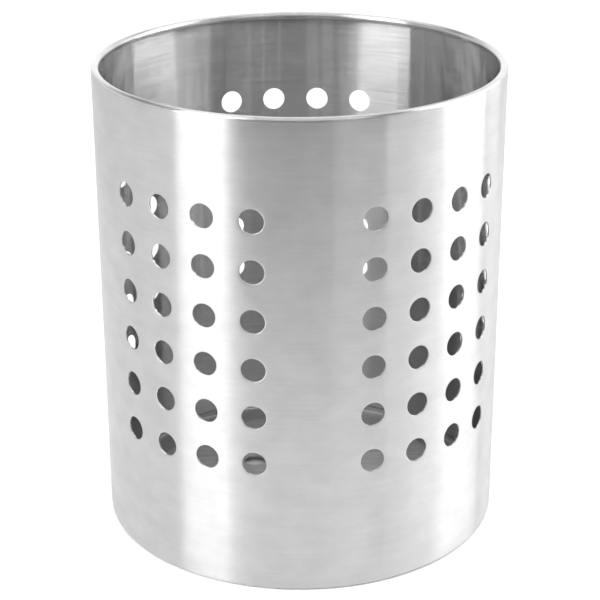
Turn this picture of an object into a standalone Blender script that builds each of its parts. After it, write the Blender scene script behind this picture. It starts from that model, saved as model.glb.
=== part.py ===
"""Cutlery holder: an open cup of brushed stainless-steel sheet with blocks of round holes.

Two pieces. The side wall starts as a flat blank, punched with its holes, which is rolled up, curled over at the
top, turned in at the foot and welded along one upright seam. The base plate is a pressed disc with a short
turned-up edge, which lies on the turned-in foot. Metres, +Z up, with the origin at the middle of the circle that
the holder stands on. Bearings turn anticlockwise, seen from above, from the front, which is -Y.
"""

import math

import bmesh
import bpy

# Overall sizes of the cup
OUTER_DIAMETER = 0.120
HEIGHT = 0.1412

# Side wall: its sheet, foot and rim
WALL_SHEET = 0.0005
FOOT_RADIUS = 0.0015
FOOT_WIDTH = 0.0045
CURL_RADIUS = 0.0012
CURL_TURN = math.radians(280)

# Side wall: the punched holes, with pitches measured on the blank
HOLE_DIAMETER = 0.0070
HOLE_ROWS = 6
HOLE_COLUMNS = 4
ROW_PITCH = 0.0144
COLUMN_PITCH = 0.01424
BLOCK_PITCH = 0.07635
TOP_ROW_DROP = 0.02865
SEAM_BEARING = math.radians(74.3)
SEAM_MERGE_DISTANCE = 0.00001

# Base plate
BASE_SHEET = 0.0006
BASE_CLEARANCE = 0.0003
BASE_BEND_RADIUS = 0.0012
BASE_EDGE_HEIGHT = 0.0022
PANEL_DIAMETER = 0.100
PANEL_RISE = 0.0007
PANEL_SLOPE_WIDTH = 0.0024
DRAIN_DIAMETER = 0.0066
DRAIN_COUNT = 5
DRAIN_CIRCLE_DIAMETER = 0.0446
FIRST_DRAIN_BEARING = math.radians(222.5)
CUT_OVERRUN = 0.001

# How finely the round forms are faceted
HOLE_POINTS = 12
CELL_STEPS = 3
CURL_STEPS = 7
FOOT_STEPS = 2
BASE_TURN_STEPS = 48
BASE_BEND_STEPS = 2
PANEL_SLOPE_STEPS = 2
SMOOTH_ANGLE = math.radians(50)

# Lengths along the blank, from the foot's inner edge up to the end of the curl
FOOT_FLAT = FOOT_WIDTH - FOOT_RADIUS
FOOT_BEND = FOOT_RADIUS * math.pi / 2
UPRIGHT = HEIGHT - FOOT_RADIUS - CURL_RADIUS
CURL = CURL_RADIUS * CURL_TURN
FOOT_END = FOOT_FLAT + FOOT_BEND
UPRIGHT_END = FOOT_END + UPRIGHT


def clear_scene():
    for obj in list(bpy.data.objects):
        bpy.data.objects.remove(obj)


def steel(name, colour, roughness):
    """A bare metal finish of its own for one piece."""
    material = bpy.data.materials.new(name)
    material.use_nodes = True
    shader = material.node_tree.nodes["Principled BSDF"]
    shader.inputs["Base Color"].default_value = (*colour, 1)
    shader.inputs["Metallic"].default_value = 1
    shader.inputs["Roughness"].default_value = roughness
    return material


def add_object(name, bm, material):
    """Puts a bmesh into the scene as a named object, shaded smooth up to its real edges."""
    mesh = bpy.data.meshes.new(name)
    bm.to_mesh(mesh)
    bm.free()
    if material:
        mesh.materials.append(material)
    mesh.shade_smooth()
    mesh.set_sharp_from_angle(angle=SMOOTH_ANGLE)
    obj = bpy.data.objects.new(name, mesh)
    bpy.context.scene.collection.objects.link(obj)
    return obj


def even_steps(start, end, count):
    """count + 1 places from start to end."""
    return [start + (end - start) * i / count for i in range(count + 1)]


def arc(centre, radius, start, end, count):
    """count + 1 points of an arc in a profile, as (distance from the axis, height)."""
    return [
        (centre[0] + radius * math.cos(turn), centre[1] + radius * math.sin(turn))
        for turn in even_steps(start, end, count)
    ]


def wall_profile(length):
    """Distance from the axis and height of the wall's outer face, this far along the blank from the foot's edge."""
    outer = OUTER_DIAMETER / 2
    if length <= FOOT_FLAT:
        return outer - FOOT_WIDTH + length, 0
    if length <= FOOT_END:
        turn = (length - FOOT_FLAT) / FOOT_RADIUS
        return (
            outer - FOOT_RADIUS + FOOT_RADIUS * math.sin(turn),
            FOOT_RADIUS - FOOT_RADIUS * math.cos(turn),
        )
    if length <= UPRIGHT_END:
        return outer, FOOT_RADIUS + length - FOOT_END
    turn = (length - UPRIGHT_END) / CURL_RADIUS
    return (
        outer - CURL_RADIUS + CURL_RADIUS * math.cos(turn),
        HEIGHT - CURL_RADIUS + CURL_RADIUS * math.sin(turn),
    )


def block_starts():
    """Where each block of holes begins on the blank. As many as fit are centred between the blank's two ends."""
    girth = math.pi * OUTER_DIAMETER
    block_width = HOLE_COLUMNS * COLUMN_PITCH
    pitches = int((girth - block_width) / BLOCK_PITCH)
    first = (girth - block_width - pitches * BLOCK_PITCH) / 2
    return [first + block * BLOCK_PITCH for block in range(pitches + 1)]


def row_lines():
    """The lines between rows of holes, and those above and below them, as lengths along the blank."""
    top_row = UPRIGHT_END - (TOP_ROW_DROP - CURL_RADIUS)
    return [
        top_row + ROW_PITCH * (row + 0.5) for row in range(-HOLE_ROWS, 1)
    ]


def upright_lines():
    """Every line that runs up the blank, and whether the stretch that follows it holds holes."""
    girth = math.pi * OUTER_DIAMETER
    lines, punched = [0], []
    for start in block_starts():
        plain = start - lines[-1]
        steps = max(1, round(CELL_STEPS * plain / COLUMN_PITCH))
        lines += even_steps(lines[-1], start, steps)[1:]
        punched += [False] * steps
        end = start + HOLE_COLUMNS * COLUMN_PITCH
        lines += even_steps(start, end, HOLE_COLUMNS * CELL_STEPS)[1:]
        punched += [True] * (HOLE_COLUMNS * CELL_STEPS)
    steps = max(1, round(CELL_STEPS * (girth - lines[-1]) / COLUMN_PITCH))
    lines += even_steps(lines[-1], girth, steps)[1:]
    punched += [False] * steps
    return lines, punched


def level_lines():
    """Every line that runs along the blank, and whether the stretch that follows it holds holes."""
    rows = row_lines()
    foot = even_steps(FOOT_FLAT, FOOT_END, FOOT_STEPS)
    curl = even_steps(UPRIGHT_END, UPRIGHT_END + CURL, CURL_STEPS)
    lines = [0] + foot + rows + curl
    punched = [rows[0] <= line < rows[-1] for line in lines[:-1]]
    return lines, punched


def punch_cell(bm, corners, centre):
    """Fills one cell of the blank round its hole, from the cell's outline to a ring of points on the hole's edge."""
    ring = []
    for point in range(HOLE_POINTS):
        turn = 2 * math.pi * (point + 0.5) / HOLE_POINTS
        along = centre[0] + HOLE_DIAMETER / 2 * math.cos(turn)
        up = centre[1] + HOLE_DIAMETER / 2 * math.sin(turn)
        ring.append(bm.verts.new((along, 0, up)))
    edges = []
    for loop in (corners, ring):
        for a, b in zip(loop, loop[1:] + loop[:1]):
            edges.append(bm.edges.get((a, b)) or bm.edges.new((a, b)))
    bmesh.ops.triangle_fill(bm, use_beauty=True, edges=edges, normal=(0, -1, 0))


def punched_blank():
    """The flat sheet before rolling: X runs along it from the seam, and Z up it from the foot's edge."""
    bm = bmesh.new()
    along, block_stretch = upright_lines()
    up, row_stretch = level_lines()
    grid = [[bm.verts.new((x, 0, z)) for z in up] for x in along]
    for i, in_block in enumerate(block_stretch):
        for j, in_row in enumerate(row_stretch):
            if not (in_block and in_row):
                bm.faces.new((grid[i][j], grid[i + 1][j], grid[i + 1][j + 1], grid[i][j + 1]))
    cell_starts = [i for i, in_block in enumerate(block_stretch) if in_block][::CELL_STEPS]
    row_starts = [j for j, in_row in enumerate(row_stretch) if in_row]
    for i in cell_starts:
        for j in row_starts:
            below = [grid[i + step][j] for step in range(CELL_STEPS + 1)]
            above = [grid[i + step][j + 1] for step in range(CELL_STEPS + 1)]
            centre = ((along[i] + along[i + CELL_STEPS]) / 2, (up[j] + up[j + 1]) / 2)
            punch_cell(bm, below + above[::-1], centre)
    return bm


def roll_up(bm):
    """Rolls the flat blank round the axis, with its top curled and its foot turned in, and welds the seam."""
    for vert in bm.verts:
        radius, height = wall_profile(vert.co.z)
        bearing = SEAM_BEARING + vert.co.x / (OUTER_DIAMETER / 2)
        vert.co = (radius * math.sin(bearing), -radius * math.cos(bearing), height)
    bmesh.ops.remove_doubles(bm, verts=bm.verts, dist=SEAM_MERGE_DISTANCE)
    bmesh.ops.recalc_face_normals(bm, faces=bm.faces)


def make_side_wall():
    bm = punched_blank()
    roll_up(bm)
    wall = add_object("side_wall", bm, steel("wall_steel", (0.66, 0.66, 0.65), 0.30))
    sheet = wall.modifiers.new("Sheet", "SOLIDIFY")
    sheet.thickness = WALL_SHEET
    sheet.offset = -1
    sheet.use_even_offset = True
    return wall


def panel_slope(floor):
    """The base plate's step up from its seat to its raised middle, from the outside in."""
    points = []
    for share in even_steps(0, 1, PANEL_SLOPE_STEPS):
        rise = PANEL_RISE * (1 - math.cos(math.pi * share)) / 2
        points.append((PANEL_DIAMETER / 2 - PANEL_SLOPE_WIDTH * share, floor + rise))
    return points


def base_profile():
    """Outline of the base plate, from the axis out along the top, down the edge and back along the underside."""
    seat = WALL_SHEET + BASE_CLEARANCE
    edge = OUTER_DIAMETER / 2 - WALL_SHEET - BASE_CLEARANCE
    bend_centre = (edge - BASE_BEND_RADIUS, seat + BASE_BEND_RADIUS)
    quarter = math.pi / 2
    inner_bend = arc(bend_centre, BASE_BEND_RADIUS - BASE_SHEET, -quarter, 0, BASE_BEND_STEPS)
    outer_bend = arc(bend_centre, BASE_BEND_RADIUS, 0, -quarter, BASE_BEND_STEPS)
    edge_top = [(edge - BASE_SHEET, seat + BASE_EDGE_HEIGHT), (edge, seat + BASE_EDGE_HEIGHT)]
    top = [(0, seat + PANEL_RISE + BASE_SHEET)] + panel_slope(seat + BASE_SHEET)[::-1]
    underside = panel_slope(seat) + [(0, seat + PANEL_RISE)]
    return top + inner_bend + edge_top + outer_bend + underside


def make_drain_cutter():
    """One cylinder for each drain hole, long enough to pass through the raised middle of the plate."""
    bm = bmesh.new()
    middle = WALL_SHEET + BASE_CLEARANCE + PANEL_RISE + BASE_SHEET / 2
    for drain in range(DRAIN_COUNT):
        bearing = FIRST_DRAIN_BEARING + 2 * math.pi * drain / DRAIN_COUNT
        made = bmesh.ops.create_cone(
            bm,
            cap_ends=True,
            segments=HOLE_POINTS,
            radius1=DRAIN_DIAMETER / 2,
            radius2=DRAIN_DIAMETER / 2,
            depth=BASE_SHEET + 2 * CUT_OVERRUN,
        )
        place = (
            DRAIN_CIRCLE_DIAMETER / 2 * math.sin(bearing),
            -DRAIN_CIRCLE_DIAMETER / 2 * math.cos(bearing),
            middle,
        )
        bmesh.ops.translate(bm, verts=made["verts"], vec=place)
    cutter = add_object("drain_cutter", bm, None)
    cutter.hide_render = True
    cutter.display_type = "WIRE"
    return cutter


def make_base_plate():
    bm = bmesh.new()
    outline = [bm.verts.new((radius, 0, height)) for radius, height in base_profile()]
    for a, b in zip(outline, outline[1:]):
        bm.edges.new((a, b))
    base = add_object("base_plate", bm, steel("base_steel", (0.60, 0.60, 0.60), 0.35))
    turn = base.modifiers.new("Turn", "SCREW")
    turn.axis = "Z"
    turn.steps = BASE_TURN_STEPS
    turn.render_steps = BASE_TURN_STEPS
    turn.use_merge_vertices = True
    turn.merge_threshold = SEAM_MERGE_DISTANCE
    turn.use_smooth_shade = True
    drains = base.modifiers.new("Drains", "BOOLEAN")
    drains.operation = "DIFFERENCE"
    drains.solver = "EXACT"
    drains.object = make_drain_cutter()
    return base


clear_scene()
make_side_wall()
make_base_plate()
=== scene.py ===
"""Cutlery holder: the finish and fine surface of an open cup of brushed stainless-steel sheet.

The side wall is a punched blank that was rolled up, with its top curled over and its foot turned in. The
base plate lies on the foot. Metres, +Z up. A bearing of 0 is the front, -Y, and bearings grow towards +X.
"""

import math

import bpy
import numpy as np
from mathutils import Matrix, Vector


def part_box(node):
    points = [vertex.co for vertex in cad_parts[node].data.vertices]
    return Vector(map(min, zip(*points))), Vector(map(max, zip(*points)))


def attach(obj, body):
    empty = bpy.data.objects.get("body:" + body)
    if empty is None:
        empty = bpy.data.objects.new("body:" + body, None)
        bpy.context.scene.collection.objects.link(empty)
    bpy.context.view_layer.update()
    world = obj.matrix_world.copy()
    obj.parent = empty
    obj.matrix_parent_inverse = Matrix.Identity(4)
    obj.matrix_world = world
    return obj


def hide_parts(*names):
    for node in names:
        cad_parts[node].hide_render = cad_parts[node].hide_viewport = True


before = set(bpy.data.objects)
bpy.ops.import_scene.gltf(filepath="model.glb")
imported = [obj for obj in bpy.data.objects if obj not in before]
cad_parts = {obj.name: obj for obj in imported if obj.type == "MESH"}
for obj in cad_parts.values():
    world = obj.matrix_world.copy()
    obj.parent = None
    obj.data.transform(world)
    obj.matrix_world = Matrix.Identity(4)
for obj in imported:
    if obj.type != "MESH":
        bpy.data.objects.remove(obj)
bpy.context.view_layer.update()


# The side wall
# A strip of half-millimetre stainless steel, brushed along its length and punched in blocks of four by six
# holes while it is flat. It is then rolled into a tube and welded, curled inwards at the top to a bead that
# is rubbed nearly smooth, and turned in at the bottom to a narrow foot.

wall_low, wall_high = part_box("side_wall")
WALL_RADIUS = min(wall_high.x, wall_high.y, -wall_low.x, -wall_low.y)
WALL_HEIGHT = wall_high.z
WALL_SHEET = 0.0005
FOOT_WIDTH = 0.0045
FOOT_RADIUS = 0.0015
CURL_RADIUS = 0.0012
CURL_TURN = math.radians(280)
SEAM_BEARING = math.radians(74.3)
WELD_HALF_WIDTH = 0.0005
WELD_DEPTH = 0.00003
ROLL_WAVES = ((29, 0.000005, 0.4), (47, 0.000004, 2.3), (79, 0.000003, 4.4))
INNER_WAVES = ((61, 0.000009, 0.9), (83, 0.000012, 2.7))

BLOCKS = 5
ROWS = 6
COLUMNS = 4
ROW_PITCH = 0.0144
COLUMN_PITCH = 0.01424
BLOCK_PITCH = 0.07635
TOP_ROW_DROP = 0.02865
HOLE_RADIUS = 0.0035
DRAWN_EDGE_WIDTH = 0.00022
DRAWN_EDGE_DEPTH = 0.00012
BROKEN_EDGE = 0.00004

SIDE_STEPS = 12
FACE_SHARES = (0.45, 0.78)
DRAWN_EDGE_STEPS = 3
CURL_STEPS = 20
FOOT_BEND_STEPS = 6
FOOT_FLAT_STEPS = 2
PLAIN_STEPS = 4
MERGED_DECIMALS = 7
SHARP_ANGLE = math.radians(32)

girth = 2 * math.pi * WALL_RADIUS
foot_flat_end = FOOT_WIDTH - FOOT_RADIUS
foot_end = foot_flat_end + FOOT_RADIUS * math.pi / 2
upright_end = foot_end + WALL_HEIGHT - FOOT_RADIUS - CURL_RADIUS
curl_end = upright_end + CURL_RADIUS * CURL_TURN
section_knots = [0, foot_flat_end, foot_end, upright_end, curl_end]
section_facing = [-math.pi / 2, -math.pi / 2, 0, 0, CURL_TURN]
section_reach = [FOOT_RADIUS, FOOT_RADIUS, FOOT_RADIUS, CURL_RADIUS, CURL_RADIUS]
section_centre_out = [WALL_RADIUS - FOOT_WIDTH] + [WALL_RADIUS - reach for reach in section_reach[1:]]
section_centre_up = [FOOT_RADIUS] * 3 + [WALL_HEIGHT - CURL_RADIUS] * 2


def rolled(blank):
    """Rolls up points of the flat blank, given as (along, up, deep, cut).

    Along is a length round the cup from the seam, and so a bearing. Up is a length along the section, which
    is a flat, a quarter turn, an upright and the curl: the centre, reach and facing of each change evenly
    from knot to knot. Deep goes into the sheet from its outer face, against the facing. Cut is 1 on a
    punched edge and 0 elsewhere. The rolls leave shallow upright waves in the sheet: so many cosines round
    the cup, each of a depth and a phase. The waves that are added on the inner face grow from nothing at the
    outer face. The weld at the seam is ground down to a shallow groove.
    """
    along, up, deep, _ = np.moveaxis(blank, -1, 0)
    facing = np.interp(up, section_knots, section_facing)
    reach = np.interp(up, section_knots, section_reach) - deep
    out = np.interp(up, section_knots, section_centre_out) + reach * np.cos(facing)
    height = np.interp(up, section_knots, section_centre_up) + reach * np.sin(facing)
    bearing = SEAM_BEARING + along / WALL_RADIUS
    for count, depth, phase in ROLL_WAVES:
        out = out - depth * (1 + np.cos(count * bearing + phase))
    for count, depth, phase in INNER_WAVES:
        out = out - depth * (1 + np.cos(count * bearing + phase)) * deep / WALL_SHEET
    from_seam = np.minimum(along, girth - along)
    out = out - WELD_DEPTH * np.clip(1 - from_seam / WELD_HALF_WIDTH, 0, 1)
    return np.stack([out * np.sin(bearing), -out * np.cos(bearing), height], -1)


def spaced(start, end, steps):
    """Places at even steps from start to end, with both."""
    return np.linspace(start, end, steps + 1)


def strips(grid, closed=False):
    """The quads between neighbouring points of a grid, as an array of (quad, corner, coordinate).

    The grid is an array of (..., row, column, coordinate). A closed one joins its last column to its
    first.
    """
    if closed:
        grid = np.concatenate([grid, grid[..., :1, :]], -2)
    lower, upper = grid[..., :-1, :, :], grid[..., 1:, :, :]
    corners = [lower[..., :-1, :], lower[..., 1:, :], upper[..., 1:, :], upper[..., :-1, :]]
    return np.stack(corners, -2).reshape(-1, 4, grid.shape[-1])


def square_outline(steps):
    """Points at even steps round a square of half-width 1, anticlockwise from its lower left corner."""
    side = np.linspace(-1, 1, steps, endpoint=False)
    edge = np.ones(steps)
    along = np.concatenate([side, edge, -side, -edge])
    up = np.concatenate([-edge, side, edge, -side])
    return np.stack([along, up], -1)


def ring(steps):
    """Points at even steps round a circle of radius 1, each facing its point of the square outline."""
    lower_left = np.radians(-135)
    turn = lower_left + np.arange(4 * steps) * np.pi / (2 * steps)
    return np.stack([np.cos(turn), np.sin(turn)], -1)


def hole_cell(half_along, half_up, radius, sheet):
    """One cell of a sheet round its hole, as an array of (ring, point, coordinate), centred on the hole.

    The rings shrink from the cell's outline on the outer face to the hole, where the punch has drawn the
    face in along a quarter of an ellipse. They then go straight through the sheet, and widen again to the
    outline on the inner face. The coordinates are (along, up, deep, cut), as for the blank.
    """
    outline = square_outline(SIDE_STEPS) * (half_along, half_up)
    circle = ring(SIDE_STEPS)
    rims = []
    for angle in spaced(0, np.pi / 2, DRAWN_EDGE_STEPS)[:-1]:
        drawn = circle * (radius + DRAWN_EDGE_WIDTH * (1 - math.sin(angle)))
        rims.append((drawn, DRAWN_EDGE_DEPTH * (1 - math.cos(angle)), 0))
    rims += [(circle * radius, DRAWN_EDGE_DEPTH, 1), (circle * radius, sheet - BROKEN_EDGE, 1)]
    rims += [(circle * (radius + BROKEN_EDGE), sheet, 0)]
    outer = [(outline + (rims[0][0] - outline) * share, 0, 0) for share in (0, *FACE_SHARES)]
    inner = [(outline + (rims[-1][0] - outline) * share, sheet, 0) for share in (*FACE_SHARES[::-1], 0)]
    rings = [
        np.column_stack([flat, np.full((len(flat), 2), (deep, cut))])
        for flat, deep, cut in outer + rims + inner
    ]
    return np.stack(rings)


def mesh_from_quads(name, flat, marks, places, uv_name):
    """Makes a mesh of quads, given as arrays of (quad, corner, coordinate), with like places merged.

    Flat becomes a UV map, in metres, and each mark an attribute of the corners. A quad whose
    neighbouring corners merge loses one of them.
    """
    rounded = np.round(places.reshape(-1, 3), MERGED_DECIMALS)
    points, index = np.unique(rounded, axis=0, return_inverse=True)
    index = index.reshape(-1, 4)
    kept = index != np.roll(index, -1, 1)
    mesh = bpy.data.meshes.new(name)
    mesh.from_pydata(points, [], np.split(index[kept], np.cumsum(kept.sum(1))[:-1]))
    mesh.uv_layers.new(name=uv_name).data.foreach_set("uv", flat[kept].astype(np.float32).ravel())
    for mark, values in marks.items():
        attribute = mesh.attributes.new(mark, "FLOAT", "CORNER")
        attribute.data.foreach_set("value", values[kept].astype(np.float32))
    mesh.shade_smooth()
    mesh.set_sharp_from_angle(angle=SHARP_ANGLE)
    return mesh


def add_piece(name, mesh, material):
    """Puts a mesh with its material into the scene, as an object at the origin."""
    piece = bpy.data.objects.new(name, mesh)
    mesh.materials.append(material)
    bpy.context.scene.collection.objects.link(piece)
    return piece


block_width = COLUMNS * COLUMN_PITCH
first_block = (girth - (BLOCKS - 1) * BLOCK_PITCH - block_width) / 2
block_starts = first_block + BLOCK_PITCH * np.arange(BLOCKS)
block_edges = np.column_stack([block_starts, block_starts + block_width]).ravel()
along_edges = np.concatenate([[0], block_edges, [girth]])
along_steps = [
    SIDE_STEPS * COLUMNS if stretch % 2 else max(1, round(gap / COLUMN_PITCH * SIDE_STEPS))
    for stretch, gap in enumerate(np.diff(along_edges))
]
top_row = upright_end - (TOP_ROW_DROP - CURL_RADIUS)
rows_end = top_row + ROW_PITCH / 2
rows_start = rows_end - ROWS * ROW_PITCH
up_edges = [0, foot_flat_end, foot_end, rows_start, rows_end, upright_end, curl_end]
up_steps = [FOOT_FLAT_STEPS, FOOT_BEND_STEPS, PLAIN_STEPS, SIDE_STEPS * ROWS, PLAIN_STEPS, CURL_STEPS]


def blank_grid(along, up, deep):
    """A grid of blank points, with a row for each value of up and a column for each value of along."""
    across, rise = np.meshgrid(along, up)
    return np.stack([across, rise, np.full_like(across, deep), np.zeros_like(across)], -1)


wall_quads = []
for stretch, along_count in enumerate(along_steps):
    along = spaced(along_edges[stretch], along_edges[stretch + 1], along_count)
    if stretch == 0:
        along = np.insert(along, 1, WELD_HALF_WIDTH)
    if stretch == len(along_steps) - 1:
        along = np.insert(along, -1, girth - WELD_HALF_WIDTH)
    for level, up_count in enumerate(up_steps):
        if stretch % 2 and up_edges[level] == rows_start:
            continue
        up = spaced(up_edges[level], up_edges[level + 1], up_count)
        wall_quads.append(strips(blank_grid(along, up, 0)))
        wall_quads.append(strips(blank_grid(along[::-1], up, WALL_SHEET)))
    foot_edge = blank_grid(along, [0, 0], 0)
    foot_edge[0, :, 2] = WALL_SHEET
    curl_edge = blank_grid(along, [curl_end, curl_end], 0)
    curl_edge[1, :, 2] = WALL_SHEET
    wall_quads += [strips(foot_edge), strips(curl_edge)]

cell = hole_cell(COLUMN_PITCH / 2, ROW_PITCH / 2, HOLE_RADIUS, WALL_SHEET)
hole_along = (block_starts[:, None] + (np.arange(COLUMNS) + 0.5) * COLUMN_PITCH).ravel()
hole_up = rows_start + (np.arange(ROWS) + 0.5) * ROW_PITCH
hole_centres = blank_grid(hole_along, hole_up, 0).reshape(-1, 1, 1, 4)
wall_quads.append(strips(hole_centres + cell, closed=True))
wall_quads = np.concatenate(wall_quads)

# The scratches run round the cup. They spread each reflection far up and down the wall and leave it sharp
# from side to side. The inside is brushed more coarsely, and the cut edges of the holes are bare. Spots of
# noise have a length, a width and a detail, and spreads a slope along the scratches and one across them.

WALL_COLOUR = (0.58, 0.58, 0.58)
CURL_SMOOTHNESS = 0.85
SCRATCH_SPOTS = (0.022, 0.0005, 4)
SCRATCH_SHADES = (0.95, 1.05)
INSIDE_SHADES = (-0.11, 0.11)
HANDLED_SPOTS = (0.010, 0.007, 3)
HANDLED_SHADES = (-0.10, 0.10)
ROUGHNESS_SPOTS = (0.030, 0.0006, 3)
WALL_ROUGHNESS = (0.23, 0.27)
GROOVE_SPOTS = (0.012, 0.00025, 2)
GROOVE_STRENGTH = 0.05
GROOVE_DEPTH = 0.00002
QUARTER_TURN = 0.25
OUTSIDE_SPREADS = (0.02, 0.55)
INSIDE_SPREADS = (0.010, 0.5)
LONG_SCRATCH_SHARES = (0.6, 0.95)

on_curl = wall_quads[..., 1] > upright_end
wall_marks = {
    "smooth": np.maximum(wall_quads[..., 3], on_curl * CURL_SMOOTHNESS),
    "inside": (wall_quads[..., 2] == WALL_SHEET) * 1.0,
}


def noise_spots(material, uv_name, length, width, detail):
    """Noise from 0 to 1 whose spots are about this long and wide, in metres, along the UV map's axes."""
    nodes, links = material.node_tree.nodes, material.node_tree.links
    place = nodes.new("ShaderNodeUVMap")
    place.uv_map = uv_name
    stretch = nodes.new("ShaderNodeMapping")
    stretch.inputs["Scale"].default_value = (1 / length, 1 / width, 1)
    links.new(place.outputs["UV"], stretch.inputs["Vector"])
    noise = nodes.new("ShaderNodeTexNoise")
    noise.noise_dimensions = "2D"
    noise.inputs["Scale"].default_value = 1
    noise.inputs["Detail"].default_value = detail
    links.new(stretch.outputs["Vector"], noise.inputs["Vector"])
    return noise.outputs["Fac"]


def marked(material, mark):
    """The value of one of the mesh's marks."""
    attribute = material.node_tree.nodes.new("ShaderNodeAttribute")
    attribute.attribute_name = mark
    return attribute.outputs["Fac"]


def ranged(material, value, low, high):
    """The value from 0 to 1 brought to the range from low to high."""
    span = material.node_tree.nodes.new("ShaderNodeMapRange")
    span.inputs["To Min"].default_value = low
    span.inputs["To Max"].default_value = high
    material.node_tree.links.new(value, span.inputs["Value"])
    return span.outputs["Result"]


def worked(material, operation, first, second):
    """Two values added, or multiplied."""
    result = material.node_tree.nodes.new("ShaderNodeMath")
    result.operation = operation
    material.node_tree.links.new(first, result.inputs[0])
    material.node_tree.links.new(second, result.inputs[1])
    return result.outputs["Value"]


def shaded(material, colour, factor):
    """The colour made darker or lighter by a factor."""
    tone = material.node_tree.nodes.new("ShaderNodeVectorMath")
    tone.operation = "SCALE"
    tone.inputs[0].default_value = colour
    material.node_tree.links.new(factor, tone.inputs["Scale"])
    return tone.outputs["Vector"]


def fine_grooves(material, uv_name):
    """The normal of a surface with shallow grooves along the first axis of its UV map."""
    bump = material.node_tree.nodes.new("ShaderNodeBump")
    bump.inputs["Strength"].default_value = GROOVE_STRENGTH
    bump.inputs["Distance"].default_value = GROOVE_DEPTH
    height = noise_spots(material, uv_name, *GROOVE_SPOTS)
    material.node_tree.links.new(height, bump.inputs["Height"])
    return bump.outputs["Normal"]


def brushed_steel(name, uv_name):
    """Bare steel with scratches round the Z axis, along the first axis of the UV map.

    It is a mix of mirrors that are all smeared across the scratches. The first, of short scratches, has
    a roughness with streaks in it. The others, of long scratches on the outside and the inside, spread
    each reflection by one slope along the scratches and by a much larger one across them.
    """
    material = bpy.data.materials.new(name)
    material.use_nodes = True
    nodes, links = material.node_tree.nodes, material.node_tree.links
    tangent = nodes.new("ShaderNodeTangent")
    tangent.direction_type = "RADIAL"
    tangent.axis = "Z"
    normal = fine_grooves(material, uv_name)

    scratches = noise_spots(material, uv_name, *SCRATCH_SPOTS)
    inside = marked(material, "inside")
    coarse = worked(material, "MULTIPLY", ranged(material, scratches, *INSIDE_SHADES), inside)
    fine = ranged(material, scratches, *SCRATCH_SHADES)
    handled = ranged(material, noise_spots(material, uv_name, *HANDLED_SPOTS), *HANDLED_SHADES)
    factor = worked(material, "ADD", worked(material, "ADD", fine, coarse), handled)
    tone = shaded(material, WALL_COLOUR, factor)

    short = nodes["Principled BSDF"]
    short.inputs["Metallic"].default_value = 1
    short.inputs["Anisotropic"].default_value = 1
    short.inputs["Anisotropic Rotation"].default_value = QUARTER_TURN
    roughness = ranged(material, noise_spots(material, uv_name, *ROUGHNESS_SPOTS), *WALL_ROUGHNESS)
    links.new(roughness, short.inputs["Roughness"])
    links.new(tone, short.inputs["Base Color"])

    longs = []
    for spread_along, spread_across in (OUTSIDE_SPREADS, INSIDE_SPREADS):
        long = nodes.new("ShaderNodeBsdfAnisotropic")
        mean_spread = math.sqrt(spread_along * spread_across)
        long.inputs["Roughness"].default_value = math.sqrt(mean_spread)
        long.inputs["Anisotropy"].default_value = 1 - spread_along / mean_spread
        links.new(tone, long.inputs["Color"])
        longs.append(long)
    for shader in (short, *longs):
        links.new(tangent.outputs["Tangent"], shader.inputs["Tangent"])
        links.new(normal, shader.inputs["Normal"])

    sides = nodes.new("ShaderNodeMixShader")
    links.new(inside, sides.inputs["Fac"])
    links.new(longs[0].outputs["BSDF"], sides.inputs[1])
    links.new(longs[1].outputs["BSDF"], sides.inputs[2])
    mix = nodes.new("ShaderNodeMixShader")
    long_share = ranged(material, inside, *LONG_SCRATCH_SHARES)
    scratched = ranged(material, marked(material, "smooth"), 1, 0)
    links.new(worked(material, "MULTIPLY", long_share, scratched), mix.inputs["Fac"])
    links.new(short.outputs["BSDF"], mix.inputs[1])
    links.new(sides.outputs["Shader"], mix.inputs[2])
    links.new(mix.outputs["Shader"], nodes["Material Output"].inputs["Surface"])
    return material


wall = add_piece(
    "rolled_wall",
    mesh_from_quads("rolled_wall", wall_quads[..., :2], wall_marks, rolled(wall_quads), "blank"),
    brushed_steel("brushed_wall", "blank"),
)
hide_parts("side_wall")
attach(wall, "root")


# The base plate
# A disc pressed from a slightly thicker sheet, with its edge turned up against the wall, its middle raised
# by less than a millimetre, and five drain holes in a ring. It lies on the turned-in foot, where it is
# spot-welded. The raised middle is ground matt, and the rest is left as it was rolled.

base_low, base_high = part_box("base_plate")
BASE_RADIUS = min(base_high.x, base_high.y, -base_low.x, -base_low.y)
BASE_SHEET = 0.0006
BASE_BEND_RADIUS = 0.0012
PANEL_RADIUS = 0.050
PANEL_RISE = 0.0007
PANEL_SLOPE_WIDTH = 0.0024
DRAINS = 5
DRAIN_RADIUS = 0.0033
DRAIN_CIRCLE_RADIUS = 0.0223
FIRST_DRAIN_BEARING = math.radians(222.5)
DRAIN_CELL_HALF = 0.006
BASE_BEND_STEPS = 6
PANEL_SLOPE_STEPS = 6
CENTRE_STEPS = 4

base_floor = base_low.z
panel_top = base_floor + PANEL_RISE + BASE_SHEET
panel_flat_end = PANEL_RADIUS - PANEL_SLOPE_WIDTH


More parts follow.
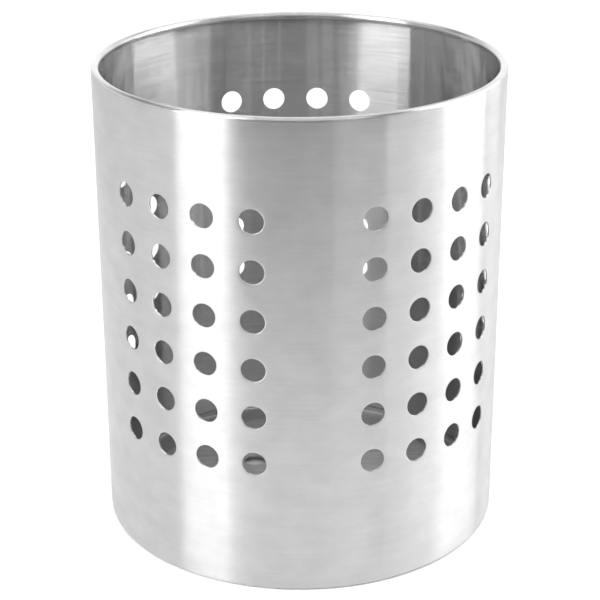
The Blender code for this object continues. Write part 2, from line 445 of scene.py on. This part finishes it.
def plate_rim():
    """The section outside the drains, from the panel's top out and up the edge, and back underneath."""
    slope = spaced(0, 1, PANEL_SLOPE_STEPS)
    slope_out = PANEL_RADIUS - PANEL_SLOPE_WIDTH * (1 - slope)
    slope_drop = PANEL_RISE * (1 - np.cos(np.pi * slope)) / 2
    turn = spaced(-np.pi / 2, 0, BASE_BEND_STEPS)
    bend_out = BASE_RADIUS - BASE_BEND_RADIUS
    bend_up = base_floor + BASE_BEND_RADIUS
    inner = BASE_BEND_RADIUS - BASE_SHEET
    outer = BASE_BEND_RADIUS
    stretches = [
        (slope_out, panel_top - slope_drop),
        (bend_out + inner * np.cos(turn), bend_up + inner * np.sin(turn)),
        ([BASE_RADIUS - BASE_SHEET, BASE_RADIUS], [base_high.z, base_high.z]),
        (bend_out + outer * np.cos(turn[::-1]), bend_up + outer * np.sin(turn[::-1])),
        (slope_out[::-1], panel_top - BASE_SHEET - slope_drop[::-1]),
    ]
    return np.concatenate([np.column_stack(stretch) for stretch in stretches])


drain_spacing = 2 * np.pi / DRAINS
drain_half_turn = DRAIN_CELL_HALF / DRAIN_CIRCLE_RADIUS
drain_bearings = FIRST_DRAIN_BEARING + drain_spacing * np.arange(DRAINS)
between_steps = round((drain_spacing - 2 * drain_half_turn) / (2 * drain_half_turn) * SIDE_STEPS)
base_bearings = np.concatenate([
    np.concatenate([
        spaced(bearing - drain_half_turn, bearing + drain_half_turn, SIDE_STEPS)[:-1],
        spaced(bearing + drain_half_turn, bearing + drain_spacing - drain_half_turn, between_steps)[:-1],
    ])
    for bearing in drain_bearings
])
base_bearings = np.append(base_bearings, base_bearings[0] + 2 * np.pi)


def turned_strips(section, bearings=base_bearings):
    """Quads of a section turned round the axis, given as points (distance from the axis, height)."""
    section = np.asarray(section, float)
    turn = np.broadcast_to(bearings, (len(section), len(bearings)))
    out = np.broadcast_to(section[:, :1], turn.shape)
    height = np.broadcast_to(section[:, 1:], turn.shape)
    return strips(np.stack([out * np.sin(turn), -out * np.cos(turn), height, 0 * turn], -1))


def level_section(radii, height, order):
    """A level stretch of the section, outwards for an order of 1 and inwards for -1."""
    return np.column_stack([radii, np.full(len(radii), height)])[::order]


base_quads = []
drains_inner = DRAIN_CIRCLE_RADIUS - DRAIN_CELL_HALF
drains_outer = DRAIN_CIRCLE_RADIUS + DRAIN_CELL_HALF
for height, order in ((panel_top, 1), (panel_top - BASE_SHEET, -1)):
    base_quads.append(turned_strips(level_section(spaced(0, drains_inner, CENTRE_STEPS), height, order)))
    base_quads.append(turned_strips(level_section([drains_outer, panel_flat_end], height, order)))
    between_drains = level_section(spaced(drains_inner, drains_outer, SIDE_STEPS), height, order)
    for bearing in drain_bearings + 2 * drain_half_turn:
        next_drain = bearing + drain_spacing - 3 * drain_half_turn
        between = spaced(bearing - drain_half_turn, next_drain, between_steps)
        base_quads.append(turned_strips(between_drains, between))
base_quads.append(turned_strips(plate_rim()))

# A drain's square cell is bowed to fit between the rings, fully at its outline and not at all at the hole.
drain = hole_cell(DRAIN_CELL_HALF, DRAIN_CELL_HALF, DRAIN_RADIUS, BASE_SHEET)
edge_turn = drain[..., 0] / DRAIN_CIRCLE_RADIUS
edge_out = DRAIN_CIRCLE_RADIUS + drain[..., 1]
bowed = np.stack([edge_out * np.sin(edge_turn), edge_out * np.cos(edge_turn) - DRAIN_CIRCLE_RADIUS], -1)
face_bow = np.subtract(1, (0, *FACE_SHARES))
bow = np.zeros(len(drain))
bow[:len(face_bow)] = face_bow
bow[-len(face_bow):] = face_bow[::-1]
drain[..., :2] += (bowed - drain[..., :2]) * bow[:, None, None]
across = drain[..., 0]
outward = DRAIN_CIRCLE_RADIUS + drain[..., 1]
for bearing in drain_bearings:
    placed = np.stack([
        outward * np.sin(bearing) + across * np.cos(bearing),
        across * np.sin(bearing) - outward * np.cos(bearing),
        panel_top - drain[..., 2],
        drain[..., 3],
    ], -1)
    base_quads.append(strips(placed, closed=True))
base_quads = np.concatenate(base_quads)

# The two roughnesses and the two levels are those of the sheet as rolled and of the ground panel.

BASE_COLOUR = (0.62, 0.62, 0.62)
BASE_ROUGHNESS = (0.38, 0.55)
BASE_LEVELS = (0.95, 1.15)
GRINDING_SPOTS = (0.020, 0.0007, 4)
GRINDING_SHADES = (-0.35, 0.35)

quad_radius = np.hypot(base_quads[..., 0], base_quads[..., 1]).mean(1, keepdims=True)
base_marks = {"ground": np.repeat(quad_radius < PANEL_RADIUS, 4, axis=1) * 1.0}


def ground_steel(name, uv_name):
    """Bare sheet steel, plain where it is left as rolled and matt with straight streaks where ground."""
    material = bpy.data.materials.new(name)
    material.use_nodes = True
    links = material.node_tree.links
    shader = material.node_tree.nodes["Principled BSDF"]
    shader.inputs["Metallic"].default_value = 1
    ground = marked(material, "ground")
    links.new(ranged(material, ground, *BASE_ROUGHNESS), shader.inputs["Roughness"])
    streaks = ranged(material, noise_spots(material, uv_name, *GRINDING_SPOTS), *GRINDING_SHADES)
    level = ranged(material, ground, *BASE_LEVELS)
    factor = worked(material, "ADD", level, worked(material, "MULTIPLY", streaks, ground))
    links.new(shaded(material, BASE_COLOUR, factor), shader.inputs["Base Color"])
    links.new(fine_grooves(material, uv_name), shader.inputs["Normal"])
    return material


base = add_piece(
    "pressed_base",
    mesh_from_quads("pressed_base", base_quads[..., :2], base_marks, base_quads[..., :3], "sheet"),
    ground_steel("ground_base", "sheet"),
)
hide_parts("base_plate")
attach(base, "root")


# The studio
# A pale floor in a room with plain soft light. A tall soft box at the left front and another at the right
# draw the two white bands down the cup, and others stand beside it, behind it and overhead. The last lamp
# has no reflection, and the camera doesn't see the dark card and the grey one that stand before the cup.

FLOOR_RADIUS = 4.0
FLOOR_CORNERS = 72
FLOOR_COLOUR = (0.95, 0.95, 0.95, 1)
PAINT_ROUGHNESS = 0.9
PAINT_SHINE = 0.1
ROOM_WALLS = 1.05
ROOM_CEILING = 0.3
CEILING_RISE = (0.36, 0.6)
CARD_HEIGHT = 0.29


def plain_paint(name, colour):
    """Matt paint of one colour."""
    paint = bpy.data.materials.new(name)
    paint.use_nodes = True
    shader = paint.node_tree.nodes["Principled BSDF"]
    shader.inputs["Base Color"].default_value = colour
    shader.inputs["Roughness"].default_value = PAINT_ROUGHNESS
    shader.inputs["Specular IOR Level"].default_value = PAINT_SHINE
    return paint


floor_mesh = bpy.data.meshes.new("floor")
floor_turn = spaced(0, 2 * np.pi, FLOOR_CORNERS)[:-1]
floor_points = np.column_stack([np.cos(floor_turn), np.sin(floor_turn), 0 * floor_turn]) * FLOOR_RADIUS
floor_mesh.from_pydata(floor_points, [], [range(FLOOR_CORNERS)])
floor = add_piece("floor", floor_mesh, plain_paint("floor_paint", FLOOR_COLOUR))


def upright_card(name, distance, left, right, grey):
    """A card that stands on the floor this far in front of the axis, and that the camera doesn't see."""
    mesh = bpy.data.meshes.new(name)
    corners = [(left, 0), (right, 0), (right, CARD_HEIGHT), (left, CARD_HEIGHT)]
    mesh.from_pydata([(across, -distance, up) for across, up in corners], [], [range(4)])
    card = add_piece(name, mesh, plain_paint(name, (grey, grey, grey, 1)))
    card.visible_camera = False


def soft_light(name, bearing, elevation, distance, size, radiance):
    """A flat soft box that faces the middle of the foot, seen from there at this bearing and elevation."""
    turn = math.radians(bearing)
    tilt = math.radians(elevation)
    light = bpy.data.lights.new(name, "AREA")
    light.shape = "RECTANGLE"
    light.size, light.size_y = size
    light.energy = radiance * math.pi * light.size * light.size_y
    lamp = bpy.data.objects.new(name, light)
    reach = distance * math.cos(tilt)
    lamp.location = (reach * math.sin(turn), -reach * math.cos(turn), distance * math.sin(tilt))
    lamp.rotation_euler = (math.pi / 2 - tilt, 0, turn)
    lamp.visible_camera = False
    bpy.context.scene.collection.objects.link(lamp)
    return lamp


upright_card("dark_card", distance=0.33, left=-0.20, right=0.10, grey=0.12)
upright_card("grey_card", distance=0.35, left=-0.24, right=0.34, grey=0.25)
soft_light("left_box", bearing=-54.2, elevation=33, distance=1.6, size=(0.82, 1.49), radiance=3.8)
soft_light("right_box", bearing=98.5, elevation=30, distance=1.0, size=(0.61, 0.95), radiance=3.1)
soft_light("right_fill", bearing=126.5, elevation=25, distance=1.0, size=(0.27, 0.93), radiance=0.95)
soft_light("back_box", bearing=172, elevation=24, distance=1.2, size=(1.7, 0.90), radiance=0.4)
soft_light("back_top_box", bearing=180, elevation=66, distance=1.2, size=(1.2, 0.50), radiance=2.1)
soft_light("front_top_box", bearing=0, elevation=64, distance=1.2, size=(1.2, 0.60), radiance=1.3)
floor_light = soft_light(
    "floor_light", bearing=0, elevation=48, distance=0.42, size=(0.3, 0.1), radiance=7.8
)
floor_light.visible_glossy = False

world = bpy.data.worlds.new("room")
world.use_nodes = True
nodes, links = world.node_tree.nodes, world.node_tree.links
direction = nodes.new("ShaderNodeTexCoord")
rise = nodes.new("ShaderNodeSeparateXYZ")
links.new(direction.outputs["Generated"], rise.inputs["Vector"])
room = nodes.new("ShaderNodeMapRange")
room.inputs["From Min"].default_value, room.inputs["From Max"].default_value = CEILING_RISE
room.inputs["To Min"].default_value = ROOM_WALLS
room.inputs["To Max"].default_value = ROOM_CEILING
links.new(rise.outputs["Z"], room.inputs["Value"])
links.new(room.outputs["Result"], nodes["Background"].inputs["Color"])
bpy.context.scene.world = world
bpy.context.scene.view_settings.view_transform = "Standard"


# The camera
# It stands half a metre in front of the cup and a little over a quarter of a metre up, and looks down by a
# little over twenty degrees.

CAMERA_PLACE = (0.0005, -0.4850, 0.2679)
CAMERA_TILT = math.radians(67.38)
CAMERA_ROLL = math.radians(0.15)
SENSOR_MILLIMETRES = 36
LENS_MILLIMETRES = 103.24

camera_data = bpy.data.cameras.new("camera")
camera_data.sensor_width = SENSOR_MILLIMETRES
camera_data.lens = LENS_MILLIMETRES
camera = bpy.data.objects.new("camera", camera_data)
camera.location = CAMERA_PLACE
camera.rotation_euler = (CAMERA_TILT, CAMERA_ROLL, 0)
bpy.context.scene.collection.objects.link(camera)
bpy.context.scene.camera = camera
